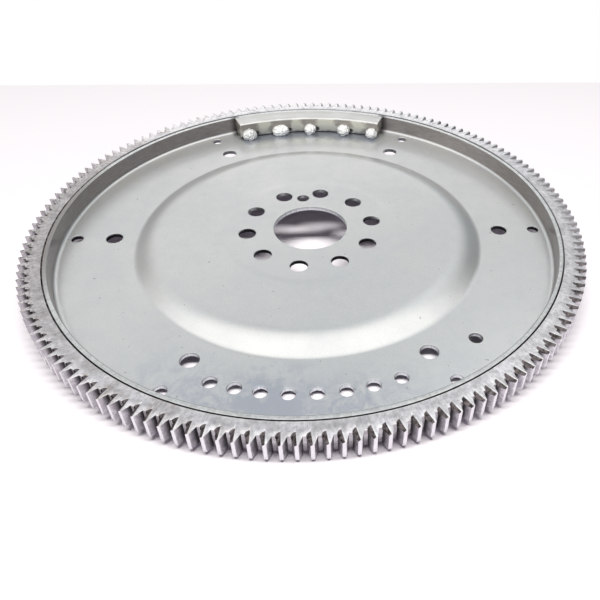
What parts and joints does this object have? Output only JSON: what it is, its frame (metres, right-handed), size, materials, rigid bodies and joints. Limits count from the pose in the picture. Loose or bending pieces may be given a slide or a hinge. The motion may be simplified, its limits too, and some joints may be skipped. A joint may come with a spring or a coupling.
{
  "type": "flexplate",
  "caption": "Pressed steel drive plate with a toothed starter ring on its rim, crankshaft and torque converter bolt circles, and a welded balance weight",
  "frame": {"origin": "on the gear axis, in the plane of the underside of the disc's floor", "axes": "+Z along the gear axis towards the open side of the dish, +X through a torque converter bolt hole, +Y towards the balance weight"},
  "size_m": [0.4006, 0.4006, 0.0177],
  "materials": {
    "disc_steel": "pale zinc plate over rolled steel, softly mottled",
    "gear_steel": "pale zinc plate over machined steel",
    "weight_steel": "pale zinc plate over bar steel, heat tinted near the welds",
    "weld_metal": "plated weld bead, rough"
  },
  "bodies": {
    "root": {"flex_disc": "disc_steel", "ring_gear": "gear_steel", "balance_weight": "weight_steel", "tack_welds": "weld_metal", "stitch_welds": "weld_metal"}
  },
  "joints": []
}
